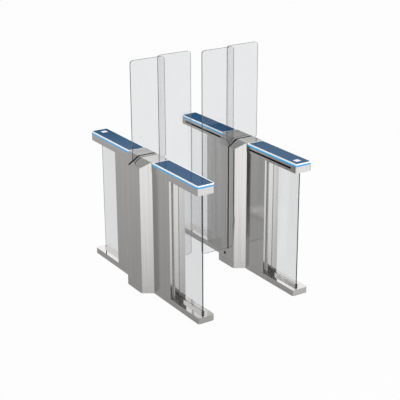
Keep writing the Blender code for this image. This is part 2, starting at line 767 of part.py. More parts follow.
def fixed_clamp(unit):
    """A block on the near cross wall, a front plate and two bolts that pinch the fixed screen's tongue."""
    half = FIXED_CLAMP_WIDTH / 2
    middle = fixed_bolt_height()
    low = middle - FIXED_CLAMP_HEIGHT / 2
    high = middle + FIXED_CLAMP_HEIGHT / 2
    back = -NEAR_BULKHEAD_PLACE + SEAT_GAP
    glass_back = FIXED_PLANE - SCREEN_GLASS / 2 - SEAT_GAP
    glass_front = FIXED_PLANE + SCREEN_GLASS / 2 + SEAT_GAP
    front = glass_front + FIXED_CLAMP_PLATE
    clamp = box(unit, "fixed_clamp", (-half, back, low), (half, glass_back, high))
    join(clamp, box(unit, "fixed_clamp_plate", (-half, glass_front, low), (half, front, high)))
    for index, x in enumerate(fixed_bolt_places()):
        join(clamp, rod_along_y(unit, f"fixed_bolt_{index}", x, middle, CLAMP_BOLT,
                                glass_back - BITE, front + BITE, HOLE_STEPS))
        join(clamp, rod_along_y(unit, f"fixed_bolt_head_{index}", x, middle, BOLT_HEAD,
                                front - BITE, front + BOLT_HEAD_HEIGHT, HOLE_STEPS))
    return as_part(clamp, galvanised_steel("fixed_clamp"))


def clamp_bolt_heights():
    return [CARRIAGE_BOTTOM + share * (CARRIAGE_TOP - CARRIAGE_BOTTOM) for share in CLAMP_BOLT_HEIGHTS_SHARES]


def clamp_middle():
    """Where the leaf's clamp bolts stand across the pedestal with the leaf out."""
    return CARRIAGE_TAIL + CARRIAGE_WIDTH / 2


def sliding_leaf(unit):
    """The tall glass leaf, drawn out across the walkway."""
    corner = SCREEN_CORNER
    path = rectangle(LEAF_TAIL, LEAF_REACH, LEAF_BOTTOM, GLASS_TOP, corner)
    holes = [circle(clamp_middle(), z, CLAMP_HOLE, HOLE_STEPS) for z in clamp_bolt_heights()]
    glass = plate_along_y(unit, "sliding_leaf", [path, *holes], LEAF_FRONT, LEAF_BACK)
    return as_part(glass, clear_glass("sliding_leaf"))


def leaf_carriage(unit):
    """The upright that carries the leaf, with a block on each guide rail and the jaw on the belt."""
    tail = CARRIAGE_TAIL
    edge = tail + CARRIAGE_WIDTH
    front = LEAF_BACK + SEAT_GAP
    carriage = box(unit, "leaf_carriage", (tail, front, CARRIAGE_BOTTOM), (edge, CARRIAGE_BACK, CARRIAGE_TOP))
    rail_front = DRIVE_PLATE_PLACE - SEAT_GAP - GUIDE_DEPTH
    block_back = rail_front + BLOCK_OVER_RAIL
    for name, height in (("low", GUIDE_LOW), ("high", GUIDE_HIGH)):
        half = BLOCK_HEIGHT / 2
        join(carriage, box(unit, f"{name}_block", (edge - BLOCK_LENGTH, CARRIAGE_BACK - BITE, height - half),
                           (edge, block_back, height + half)))
    for name, height in (("low", GUIDE_LOW), ("high", GUIDE_HIGH)):
        half = GUIDE_HEIGHT / 2 + RUNNING_GAP
        cut(carriage, box(unit, f"{name}_block_groove",
                          (edge - BLOCK_LENGTH - OVERRUN, rail_front - RUNNING_GAP, height - half),
                          (edge + OVERRUN, block_back + OVERRUN, height + half)))
    jaw_low = BELT_LINE + IDLER_RADIUS + BELT_THICKNESS + 2 * SEAT_GAP
    half = BELT_JAW_WIDTH / 2
    join(carriage, box(unit, "belt_jaw", (clamp_middle() - half, CARRIAGE_BACK - BITE, jaw_low),
                       (clamp_middle() + half, BELT_PLACE + BELT_WIDTH / 2, jaw_low + BELT_JAW_HEIGHT)))
    for index, z in enumerate(clamp_bolt_heights()):
        cut(carriage, rod_along_y(unit, f"carriage_hole_{index}", clamp_middle(), z,
                                  CLAMP_BOLT + 2 * SEAT_GAP, front - OVERRUN, CARRIAGE_BACK + OVERRUN,
                                  HOLE_STEPS))
    return as_part(carriage, anodised_aluminium("leaf_carriage"))


def leaf_clamp(unit):
    """The strip in front of the leaf with the bolts that go through the glass into the carriage."""
    back = LEAF_FRONT - SEAT_GAP
    front = back - CARRIAGE_PLATE
    tail = CARRIAGE_TAIL
    strip = box(unit, "leaf_clamp", (tail, front, CARRIAGE_BOTTOM),
                (tail + CARRIAGE_WIDTH, back, CARRIAGE_TOP))
    for index, z in enumerate(clamp_bolt_heights()):
        join(strip, rod_along_y(unit, f"clamp_bolt_{index}", clamp_middle(), z, CLAMP_BOLT,
                                front + BITE, CARRIAGE_BACK, HOLE_STEPS))
        join(strip, rod_along_y(unit, f"clamp_bolt_head_{index}", clamp_middle(), z, BOLT_HEAD,
                                front - BOLT_HEAD_HEIGHT, front + BITE, HOLE_STEPS))
    return as_part(strip, bright_steel("leaf_clamp"))


def guide_rails(unit):
    """Two level rails on the drive wall, joined at their ends by upright bars that stop the carriage."""
    reach = HALF_BULGE - GUIDE_INSET
    back = DRIVE_PLATE_PLACE - SEAT_GAP
    half = GUIDE_HEIGHT / 2
    edge = CARRIAGE_TAIL + CARRIAGE_WIDTH
    rails = box(unit, "guide_rails", (-reach, back - GUIDE_DEPTH, GUIDE_LOW - half),
                (reach, back, GUIDE_LOW + half))
    join(rails, box(unit, "high_guide", (-reach, back - GUIDE_DEPTH, GUIDE_HIGH - half),
                    (reach, back, GUIDE_HIGH + half)))
    low = GUIDE_LOW - half - STOP_OVER_GUIDE
    high = GUIDE_HIGH + half + STOP_OVER_GUIDE
    for name, start, end in (("lane", edge + STOP_GAP, reach + STOP_GAP),
                             ("outer", -reach - STOP_GAP, edge - BLOCK_LENGTH - LEAF_TRAVEL - STOP_GAP)):
        join(rails, box(unit, f"{name}_stop", (start, back - STOP_DEPTH, low), (end, back - STOP_GAP, high)))
    return as_part(rails, bright_steel("guide_rails"))


def belt_path(rise):
    """The loop round both idlers and the drive pulley, in XZ, at a distance outside their rims."""
    idlers = [(x, BELT_LINE, IDLER_RADIUS) for x in (-IDLER_PLACE, IDLER_PLACE)]
    wheels = [*idlers, (0, DRIVE_LINE, DRIVE_RADIUS)]
    leans = []
    for index, (x, z, radius) in enumerate(wheels):
        next_x, next_z, next_radius = wheels[(index + 1) % len(wheels)]
        run = math.hypot(next_x - x, next_z - z)
        leans.append(math.atan2(next_z - z, next_x - x) + math.acos((radius - next_radius) / run))
    points = []
    for index, (x, z, radius) in enumerate(wheels):
        start = leans[index - 1]
        sweep = (leans[index] - start + math.pi) % math.tau - math.pi
        sweep = sweep - math.tau if sweep > 0 else sweep
        for step in range(2 * ARC_STEPS + 1):
            angle = start + sweep * step / (2 * ARC_STEPS)
            points.append((x + (radius + rise) * math.cos(angle), z + (radius + rise) * math.sin(angle)))
    return points


def drive_belt(unit):
    """The toothed belt's loop."""
    paths = [belt_path(SEAT_GAP + BELT_THICKNESS), belt_path(SEAT_GAP)]
    loop = plate_along_y(unit, "drive_belt", paths, BELT_PLACE - BELT_WIDTH / 2, BELT_PLACE + BELT_WIDTH / 2)
    return as_part(loop, black_rubber("drive_belt"))


def rim_profile(radius):
    """Outer side of a flanged belt pulley, from its top down, as (radius, height)."""
    half = BELT_WIDTH / 2 + RUNNING_GAP
    edge = half + FLANGE_THICKNESS
    rim = radius + FLANGE_RISE
    return [(rim, edge), (rim, half), (radius, half), (radius, -half), (rim, -half), (rim, -edge)]


def idler(unit, name, side):
    """A flanged pulley that turns on its pin."""
    bore = IDLER_BORE / 2
    edge = BELT_WIDTH / 2 + RUNNING_GAP + FLANGE_THICKNESS
    mesh = turned([(bore, edge), *rim_profile(IDLER_RADIUS), (bore, -edge)], closed=True)
    place = (side * IDLER_PLACE, BELT_PLACE, BELT_LINE)
    pulley = add(unit, name, mesh, location=place, rotation=(-math.pi / 2, 0, 0))
    return as_part(pulley, anodised_aluminium(name))


def drive_pulley(unit):
    """The driven pulley and the shaft that turns it."""
    edge = BELT_WIDTH / 2 + RUNNING_GAP + FLANGE_THICKNESS
    shaft_end = DRIVE_PLATE_PLACE + BULKHEAD + SHAFT_LENGTH_IN_MOTOR - BELT_PLACE
    shaft = SHAFT / 2
    profile = [(0, shaft_end), (shaft, shaft_end), (shaft, edge), *rim_profile(DRIVE_RADIUS), (0, -edge)]
    place = (0, BELT_PLACE, DRIVE_LINE)
    pulley = add(unit, "drive_pulley", turned(profile), location=place, rotation=(-math.pi / 2, 0, 0))
    return as_part(pulley, anodised_aluminium("drive_pulley"))


def drive_motor(unit):
    """The gearbox and motor behind the drive wall, with their controller on top and a bore for the shaft."""
    face = DRIVE_PLATE_PLACE + BULKHEAD + SEAT_GAP
    half = GEARBOX_SIZE / 2
    gear_end = face + GEARBOX_LENGTH
    motor_end = gear_end + MOTOR_LENGTH
    path = rectangle(-half, half, DRIVE_LINE - half, DRIVE_LINE + half, GEARBOX_EDGE)
    motor = plate_along_y(unit, "drive_motor", [path], face, gear_end)
    join(motor, rod_along_y(unit, "motor_barrel", 0, DRIVE_LINE, MOTOR_DIAMETER, gear_end - BITE, motor_end))
    join(motor, rod_along_y(unit, "motor_encoder", 0, DRIVE_LINE, MOTOR_CAP_DIAMETER, motor_end - BITE,
                            motor_end + MOTOR_CAP_LENGTH))
    half = CONTROLLER_WIDTH / 2
    join(motor, box(unit, "motor_controller", (-half, gear_end + BITE, DRIVE_LINE),
                    (half, motor_end - BITE, DRIVE_LINE + MOTOR_DIAMETER / 2 + CONTROLLER_HEIGHT)))
    bore_end = DRIVE_PLATE_PLACE + BULKHEAD + SHAFT_LENGTH_IN_MOTOR + RUNNING_GAP
    cut(motor, rod_along_y(unit, "motor_bore", 0, DRIVE_LINE, SHAFT + 2 * RUNNING_GAP,
                           face - OVERRUN, bore_end))
    return as_part(motor, black_enamel("drive_motor"))


def lock_cylinder(unit):
    """The keyed plug that turns in the lock's barrel, with the cam at its inner end."""
    radius = LOCK_CYLINDER / 2
    length = LOCK_LENGTH + LOCK_CAM_THICKNESS + RUNNING_GAP
    plug_mesh = turned([(0, 0), (radius, 0), (radius, -length), (0, -length)])
    face = HALF_BULGE + LOCK_FLANGE_THICKNESS + LOCK_CYLINDER_PROUD
    plug = add(unit, "lock_cylinder", plug_mesh, location=(face, LOCK_PLACE, LOCK_HEIGHT),
               rotation=(0, math.pi / 2, 0))
    half = LOCK_CAM_WIDTH / 2
    back = face - length
    join(plug, box(unit, "lock_cam", (back, LOCK_PLACE - half, LOCK_HEIGHT),
                   (back + LOCK_CAM_THICKNESS, LOCK_PLACE + half, LOCK_HEIGHT + LOCK_CAM_LENGTH)))
    half = KEYWAY_WIDTH / 2
    slot = rectangle(LOCK_PLACE - half, LOCK_PLACE + half,
                     LOCK_HEIGHT - KEYWAY_LENGTH / 2, LOCK_HEIGHT + KEYWAY_LENGTH / 2)
    cut(plug, plate_along_x(unit, "keyway", [slot], face - KEYWAY_DEPTH, face + OVERRUN))
    return as_part(plug, chromed_brass("lock_cylinder"))


def rail_outline(side, inset, inner_end):
    """The top rail in plan on one side of the pedestal, drawn in by an inset."""
    flank = HALF_RAIL - inset
    end = HALF_LENGTH - inset
    corner = max(RAIL_CORNER - inset, RAIL_CORNER / 4)
    path = [(flank, inner_end), (flank, end, corner), (-flank, end, corner), (-flank, inner_end)]
    return rounded(path if side > 0 else flipped(path))


def side_glass_end():
    return HALF_LENGTH - SIDE_GLASS_SETBACK


def side_span(side, inner, outer):
    """The low and high end along Y of something that lies between two distances from the middle."""
    return sorted((side * inner, side * outer))


def rail(unit, name, side):
    """A hollow steel rail with a raised inner end that the roof rests on."""
    body = plate_up(unit, name, [rail_outline(side, 0, RAIL_INNER_END)], RAIL_BOTTOM, BODY_TOP)
    hollow = rail_outline(side, RAIL_WALL, HALF_CAP + RAIL_WALL)
    cut(body, plate_up(unit, f"{name}_hollow", [hollow], RAIL_BOTTOM + RAIL_FLOOR, BODY_TOP + OVERRUN))
    low, high = side_span(side, RAIL_INNER_END + SEAT_GAP, HALF_CAP - SEAT_GAP)
    join(body, plate_along_y(unit, f"{name}_raised_end", [raised_end_path()], low, high))
    low, high = side_span(side, END_FACE + SEAT_GAP, side_glass_end() + SEAT_GAP)
    half = SIDE_GLASS / 2 + SEAT_GAP
    cut(body, box(unit, f"{name}_glass_slot", (-half, low, RAIL_BOTTOM - OVERRUN),
                  (half, high, RAIL_BOTTOM + RAIL_REBATE)))
    cut(body, plate_along_x(unit, f"{name}_window_slot", [window_path(side, 0)],
                            HALF_RAIL - WINDOW_DEPTH - SEAT_GAP, HALF_RAIL + OVERRUN))
    return as_part(body, brushed_steel(name))


def window_path(side, inset):
    """The sensor window in YZ, drawn in by an inset."""
    low, high = side_span(side, WINDOW_INNER_END, HALF_LENGTH - WINDOW_OUTER_SETBACK)
    middle = RAIL_TOP - WINDOW_MIDDLE_BELOW_TOP
    half = WINDOW_HEIGHT / 2 - inset
    return rectangle(low + inset, high - inset, middle - half, middle + half, WINDOW_CORNER - inset)


def sensor_window(unit, name, side):
    """A dark window, let into the walkway side of a rail, in front of the beam sensors."""
    strip = plate_along_x(unit, name, [window_path(side, SEAT_GAP)], HALF_RAIL - WINDOW_DEPTH, HALF_RAIL)
    return as_part(strip, black_acrylic(name))


def light_guide(unit, name, side):
    """A strip of light guide that runs along both sides and round the end of a rail."""
    guide = plate_up(unit, name, [rail_outline(side, 0, HALF_CAP)], LIGHT_BOTTOM, LIGHT_TOP)
    core = rail_outline(side, LIGHT_DEPTH, HALF_CAP - OVERRUN)
    cut(guide, plate_up(unit, f"{name}_core", [core], LIGHT_BOTTOM - OVERRUN, LIGHT_TOP + OVERRUN))
    return as_part(guide, light_guide_acrylic(name))


def rail_glass(unit, name, side):
    """The back-painted glass on top of a rail."""
    glass = plate_up(unit, name, [rail_outline(side, 0, HALF_CAP + SEAT_GAP)], RAIL_TOP - TOP_GLASS, RAIL_TOP)
    bevel(glass, TOP_GLASS_EDGE)
    return as_part(glass, blue_glass(name))


def side_glass(unit, name, side):
    """The clear panel between the housing and the end of the pedestal, under the rail."""
    low, high = side_span(side, END_FACE + SEAT_GAP, side_glass_end())
    half = SIDE_GLASS / 2
    path = rectangle(low, high, PLINTH_HEIGHT + CHANNEL_FLOOR + SEAT_GAP,
                     RAIL_BOTTOM + RAIL_REBATE - SEAT_GAP, SIDE_GLASS_CORNER)
    return as_part(plate_along_x(unit, name, [path], -half, half), clear_glass(name))


def reader(unit):
    """The pass reader on its legs under the rail's glass, at the end where the user comes in."""
    middle_y = HALF_LENGTH - READER_FROM_END
    half_x = READER_WIDTH / 2
    half_y = READER_LENGTH / 2
    top = RAIL_TOP - TOP_GLASS - SEAT_GAP
    low = RAIL_BOTTOM + RAIL_FLOOR + SEAT_GAP
    path = rectangle(READER_OFFSET - half_x, READER_OFFSET + half_x,
                     middle_y - half_y, middle_y + half_y, READER_LEG)
    body = plate_up(unit, "reader", [path], top - READER_PLATE, top)
    for x in (-1, 1):
        for y in (-1, 1):
            leg = circle(READER_OFFSET + x * (half_x - READER_LEG), middle_y + y * (half_y - READER_LEG),
                         READER_LEG, HOLE_STEPS)
            join(body, plate_up(unit, f"reader_leg_{x}_{y}", [leg], low, top - READER_PLATE + BITE))
    return as_part(body, grey_plastic("reader"))


def lock_barrel(unit):
    """The lock's fixed sleeve, with a flange on the face of the cover."""
    bore = LOCK_CYLINDER / 2 + RUNNING_GAP
    flange = LOCK_FLANGE / 2
    barrel = LOCK_BARREL / 2
    top = LOCK_FLANGE_THICKNESS + SEAT_GAP
    low = top - LOCK_LENGTH
    profile = [(bore, top), (flange, top), (flange, SEAT_GAP), (barrel, SEAT_GAP), (barrel, low), (bore, low)]
    place = (HALF_BULGE, LOCK_PLACE, LOCK_HEIGHT)
    sleeve = add(unit, "lock_barrel", turned(profile, closed=True), location=place,
                 rotation=(0, math.pi / 2, 0))
    return as_part(sleeve, chromed_brass("lock_barrel"))


def new_unit(name, x, turn):
    frame = bpy.data.objects.new(f"{name}_pedestal", None)
    frame.location = (x, 0, 0)
    frame.rotation_euler = (0, 0, turn)
    PARTS.objects.link(frame)
    return Unit(name, frame)


def pedestal(unit):
    """All the pieces of one pedestal."""
    plinth(unit)
    inner_frame(unit)
    outer_cover(unit)
    lane_cover(unit)
    roof(unit)
    slot_seal(unit)
    fixed_screen(unit)
    fixed_clamp(unit)
    sliding_leaf(unit)
    leaf_carriage(unit)
    leaf_clamp(unit)
    guide_rails(unit)
    drive_belt(unit)
    idler(unit, "outer_idler", -1)
    idler(unit, "lane_idler", 1)
    drive_pulley(unit)
    drive_motor(unit)
    lock_barrel(unit)
    lock_cylinder(unit)
    reader(unit)
    for place, side in (("near", -1), ("far", 1)):
        rail(unit, f"{place}_rail", side)
        rail_glass(unit, f"{place}_rail_glass", side)
        light_guide(unit, f"{place}_light_guide", side)
        sensor_window(unit, f"{place}_sensor_window", side)
        side_glass(unit, f"{place}_side_glass", side)


def turnstile():
    for name, x, turn in (("left", -PEDESTAL_PITCH / 2, 0), ("right", PEDESTAL_PITCH / 2, math.pi)):
        pedestal(new_unit(name, x, turn))


turnstile()
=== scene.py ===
"""Looks of the sliding gate turnstile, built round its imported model. Metres, +Z up."""

import math

import bpy
from mathutils import Matrix, Vector


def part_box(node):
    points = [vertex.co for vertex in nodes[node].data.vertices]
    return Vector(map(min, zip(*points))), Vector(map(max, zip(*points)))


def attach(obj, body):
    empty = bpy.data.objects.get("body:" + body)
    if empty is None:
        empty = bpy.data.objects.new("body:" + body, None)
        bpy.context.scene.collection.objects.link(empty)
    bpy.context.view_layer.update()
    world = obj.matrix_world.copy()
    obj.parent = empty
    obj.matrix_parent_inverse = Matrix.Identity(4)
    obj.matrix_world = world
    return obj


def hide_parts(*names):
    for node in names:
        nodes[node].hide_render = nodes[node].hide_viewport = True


MM = 0.001

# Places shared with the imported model
PEDESTAL_X = 0.427
RAIL_TOP = 1.060

# Camera of the photograph
CAMERA_PLACE = (-4.279, -6.682, 3.596)
CAMERA_YAW = math.radians(-32.81)
CAMERA_PITCH = math.radians(20.61)
CAMERA_ROLL = math.radians(-0.24)
FOCAL_SHARE = 1082.59 / 400
SENSOR = 36.0

# Brightness of the room at heights of a mirrored ray, from straight down (-1) to straight up (1)
ROOM_FRONT = ((-1.0, 0.55), (-0.6, 0.4), (-0.47, 0.4), (-0.38, 0.96), (-0.34, 1.15), (-0.30, 1.12),
              (-0.15, 1.4), (0.1, 1.0), (0.25, 0.2), (0.47, 0.2), (0.62, 0.7), (1.0, 0.7))
ROOM_BACK = ((-1.0, 0.5), (-0.55, 0.36), (-0.42, 0.37), (-0.32, 0.49), (-0.10, 0.60), (0.08, 0.12),
             (0.262, 0.04), (0.289, 0.2), (0.304, 0.95), (0.318, 1.0), (0.345, 1.35), (0.42, 1.24),
             (0.445, 1.06), (0.56, 0.38), (1.0, 0.5))

# Y of a mirrored ray where the room's back begins and where its front is reached
ROOM_TURN = (-0.1, -0.6)

# Brightness of the backdrop and the floor where they are seen directly, and of the plain level of light
WHITE = 0.99
SURROUND = 0.55
FLOOR_WHITE_SHARE = 0.97
FLOOR_SIZE = 30
FLOOR_DROP = 0.6 * MM

# Panes
PANE_CORNER = 26 * MM
SIDE_PANE_CORNER = 4 * MM
PANE_ARRIS = 1.2 * MM
SCREEN_FOOT_DROP = 33 * MM
SCREEN_HALF_TONGUE = 55 * MM
TONGUE_OVERLAP = 30 * MM
BROAD_SIDE = 0.95

# Paint behind the rails' glass
FIELD_MIDDLE = (PEDESTAL_X, 0.483)
FIELD_SIZE = (0.130, 0.598)
FIELD_CORNER = 12 * MM
SQUARE_MIDDLE = (PEDESTAL_X - 0.008, 0.715)
SQUARE_SIZE = (0.046, 0.046)
SQUARE_CORNER = 6 * MM
PAINT_BLUR = 0.3 * MM
ANY_HEIGHT = 9.0
DIODE_SPACING = 16 * MM

# Roof and slot of the leaf
HALF_RAIL = 0.073
ROOF_SLOPE = 0.053 / 0.079
HALF_SLOT = 9.8 * MM
LIP_INNER = 5.6 * MM
LIP_DROP = 0.2 * MM
LIP_DEPTH = 2.8 * MM
LIP_ARRIS = 0.4 * MM
SLOT_FOOT = 0.154

# Joint strips beside the end posts
HALF_POST = 0.0435
STRIP_WIDTH = 3 * MM
STRIP_DEPTH = 6 * MM
STRIP_CORNER = 0.8 * MM

# Smooth arcs and sharp edges
CORNER_STEPS = 14
STRIP_STEPS = 4
EDGE_STEPS = 3
LIP_STEPS = 2
SMOOTH_ANGLE = math.radians(32)
SHARP_ANGLE = math.radians(50)
FACING = 0.9

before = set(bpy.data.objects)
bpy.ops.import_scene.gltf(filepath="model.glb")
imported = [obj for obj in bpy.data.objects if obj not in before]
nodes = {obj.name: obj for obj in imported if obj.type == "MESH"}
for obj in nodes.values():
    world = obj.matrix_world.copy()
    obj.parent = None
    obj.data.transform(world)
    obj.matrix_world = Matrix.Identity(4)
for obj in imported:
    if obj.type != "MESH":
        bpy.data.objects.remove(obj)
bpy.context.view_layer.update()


def linear(hex_colour, alpha=1.0):
    """An sRGB hex colour as the linear RGBA that a shader's socket takes."""
    parts = [int(hex_colour[i:i + 2], 16) / 255 for i in (1, 3, 5)]
    return (*[c / 12.92 if c <= 0.04045 else ((c + 0.055) / 1.055) ** 2.4 for c in parts], alpha)


def put(tree, kind, sockets=None, **settings):
    """Adds a node with its settings. A socket takes a value or another node's output."""
    made = tree.nodes.new(kind)
    for name, value in settings.items():
        setattr(made, name, value)
    for name, value in (sockets or {}).items():
        if isinstance(value, bpy.types.NodeSocket):
            tree.links.new(value, made.inputs[name])
        else:
            made.inputs[name].default_value = value
    return made


def new_material(name):
    """An empty material and its tree, with its Principled shader."""
    made = bpy.data.materials.new(name)
    made.use_nodes = True
    return made, made.node_tree, made.node_tree.nodes["Principled BSDF"]


def connect(tree, shader, **outputs):
    """Links outputs to the shader's sockets, which are named with underscores."""
    for name, output in outputs.items():
        tree.links.new(output, shader.inputs[name.replace("_", " ")])


def set_sockets(shader, values):
    for name, value in values.items():
        shader.inputs[name].default_value = value


def mirrored(tree, path):
    """1 for a ray that has been mirrored on its way, whatever it went through since."""
    return put(tree, "ShaderNodeMath", {0: path["Glossy Depth"], 1: 0.5}, operation="GREATER_THAN").outputs[0]


def looked_at(tree, path):
    """1 for a ray that comes from the camera, straight or through glass."""
    return put(tree, "ShaderNodeMath", {0: path["Is Camera Ray"], 1: path["Is Transmission Ray"]},
               operation="MAXIMUM").outputs[0]


def lines_across(tree, spacing, length, grain):
    """Noise drawn out along one axis: grinding lines of a spacing and a length in metres."""
    scale = [1 / spacing] * 3
    scale[grain] = 1 / length
    place = put(tree, "ShaderNodeTexCoord").outputs["Object"]
    stretched = put(tree, "ShaderNodeMapping", {"Vector": place, "Scale": scale})
    return put(tree, "ShaderNodeTexNoise", {"Vector": stretched.outputs[0], "Scale": 1.0, "Detail": 3.0,
                                            "Roughness": 0.6}).outputs["Fac"]


def brushed_stainless(name, light, dark, grain, roughness):
    """Stainless steel 1.4301, brushed with grit 320 along one axis.

    The grit leaves lines about 0.5 mm apart, which blur reflections, and the sheet's rolling leaves soft
    streaks some 14 mm wide, which are what a view from a few metres shows.
    """
    made, tree, shader = new_material(name)
    fine = lines_across(tree, spacing=0.5 * MM, length=70 * MM, grain=grain)
    streaks = lines_across(tree, spacing=14 * MM, length=1400 * MM, grain=grain)
    tone = put(tree, "ShaderNodeMapRange", {"Value": streaks, "From Min": 0.35, "From Max": 0.65})
    colour = put(tree, "ShaderNodeMix", {0: tone.outputs[0], 6: linear(dark), 7: linear(light)},
                 data_type="RGBA")
    blur = put(tree, "ShaderNodeMapRange", {"Value": fine, "From Min": 0.3, "From Max": 0.7,
                                            "To Min": roughness * 0.85, "To Max": roughness * 1.15})
    relief = put(tree, "ShaderNodeBump", {"Height": fine, "Strength": 0.015, "Distance": 0.02 * MM})
    connect(tree, shader, Base_Color=colour.outputs[2], Roughness=blur.outputs[0], Normal=relief.outputs[0])
    set_sockets(shader, {"Metallic": 1.0})
    return made


def galvanised_steel(name):
    """Hot-dip galvanised sheet: zinc crystals of 6 to 12 mm, each a slightly different grey and gloss."""
    made, tree, shader = new_material(name)
    place = put(tree, "ShaderNodeTexCoord").outputs["Object"]
    crystals = put(tree, "ShaderNodeTexVoronoi", {"Vector": place, "Scale": 1 / (9 * MM)})
    cloud = put(tree, "ShaderNodeTexNoise", {"Vector": place, "Scale": 1 / (60 * MM), "Detail": 4.0})
    grey = put(tree, "ShaderNodeSeparateColor", {"Color": crystals.outputs["Color"]})
    colour = put(tree, "ShaderNodeMix", {0: grey.outputs[0], 6: linear("#8F9498"), 7: linear("#AEB3B6")},
                 data_type="RGBA")
    dulled = put(tree, "ShaderNodeMix", {0: 0.35, 6: colour.outputs[2], 7: cloud.outputs["Color"]},
                 data_type="RGBA", blend_type="SOFT_LIGHT")
    blur = put(tree, "ShaderNodeMapRange", {"Value": grey.outputs[1], "To Min": 0.32, "To Max": 0.52})
    connect(tree, shader, Base_Color=dulled.outputs[2], Roughness=blur.outputs[0])
    set_sockets(shader, {"Metallic": 1.0})
    return made


def ground_steel(name, grain):
    """Bright ground bar steel: tight grinding marks along the bar and a thin film of oil."""
    made, tree, shader = new_material(name)
    fine = lines_across(tree, spacing=0.4 * MM, length=30 * MM, grain=grain)
    blur = put(tree, "ShaderNodeMapRange", {"Value": fine, "To Min": 0.14, "To Max": 0.34})
    colour = put(tree, "ShaderNodeMix", {0: fine, 6: linear("#A8A9AB"), 7: linear("#C9CACB")},
                 data_type="RGBA")
    relief = put(tree, "ShaderNodeBump", {"Height": fine, "Strength": 0.08, "Distance": 0.05 * MM})
    connect(tree, shader, Base_Color=colour.outputs[2], Roughness=blur.outputs[0], Normal=relief.outputs[0])
    set_sockets(shader, {"Metallic": 1.0})
    return made


def anodised_aluminium(name):
    """Clear anodised aluminium: an even silver grey whose etched surface has grains of about 0.3 mm."""
    made, tree, shader = new_material(name)
    place = put(tree, "ShaderNodeTexCoord").outputs["Object"]
    grit = put(tree, "ShaderNodeTexNoise", {"Vector": place, "Scale": 1 / (0.3 * MM),
                                            "Detail": 2.0}).outputs["Fac"]
    cloud = put(tree, "ShaderNodeTexNoise", {"Vector": place, "Scale": 1 / (40 * MM)}).outputs["Fac"]
    colour = put(tree, "ShaderNodeMix", {0: cloud, 6: linear("#A9ABAD"), 7: linear("#B9BBBD")},
                 data_type="RGBA")
    blur = put(tree, "ShaderNodeMapRange", {"Value": grit, "To Min": 0.34, "To Max": 0.46})
    relief = put(tree, "ShaderNodeBump", {"Height": grit, "Strength": 0.05, "Distance": 0.03 * MM})
    connect(tree, shader, Base_Color=colour.outputs[2], Roughness=blur.outputs[0], Normal=relief.outputs[0])
    set_sockets(shader, {"Metallic": 1.0})
    return made


def toughened_glass(name):
    """Toughened float glass: clear with a faint grey cast.

    Light that casts a shadow, or that metal mirrors, goes straight through it, so the panes don't dull
    the steel.
    """
    made, tree, shader = new_material(name)
    place = put(tree, "ShaderNodeTexCoord").outputs["Object"]
    cloud = put(tree, "ShaderNodeTexNoise", {"Vector": place, "Scale": 1 / (260 * MM), "Detail": 1.0})
    colour = put(tree, "ShaderNodeMix", {0: cloud.outputs["Fac"], 6: linear("#E2E3E4"), 7: linear("#E7E8E9")},
                 data_type="RGBA")
    connect(tree, shader, Base_Color=colour.outputs[2])
    set_sockets(shader, {"Transmission Weight": 1.0, "Roughness": 0.0, "IOR": 1.52})
    open_pane = put(tree, "ShaderNodeBsdfTransparent", {"Color": linear("#FBFCFC")})
    path = put(tree, "ShaderNodeLightPath").outputs
    straight = put(tree, "ShaderNodeMath", {0: path["Is Shadow Ray"], 1: mirrored(tree, path)},
                   operation="MAXIMUM")
    mixed = put(tree, "ShaderNodeMixShader", {0: straight.outputs[0], 1: shader.outputs[0],
                                              2: open_pane.outputs[0]})
    tree.links.new(mixed.outputs[0], tree.nodes["Material Output"].inputs["Surface"])
    return made


def frosted_edge_painted_dark(name):
    """The flat-ground edge of a pane: slightly frosted, with grinding ripples some 3 mm apart, and coloured
    near-black as painted shade for the dark line along a pane's edge.
    """
    made, tree, shader = new_material(name)
    place = put(tree, "ShaderNodeTexCoord").outputs["Object"]
    ripple = put(tree, "ShaderNodeTexNoise", {"Vector": place, "Scale": 1 / (3 * MM),
                                              "Detail": 2.0}).outputs["Fac"]
    # Painted shade: the near-black colour stands in for the dark line that light makes along a pane's edge.
    colour = put(tree, "ShaderNodeMix", {0: ripple, 6: linear("#1C2122"), 7: linear("#2A3031")},
                 data_type="RGBA")
    blur = put(tree, "ShaderNodeMapRange", {"Value": ripple, "To Min": 0.12, "To Max": 0.28})
    connect(tree, shader, Base_Color=colour.outputs[2], Roughness=blur.outputs[0])
    set_sockets(shader, {"Transmission Weight": 0.12, "IOR": 1.52})
    return made


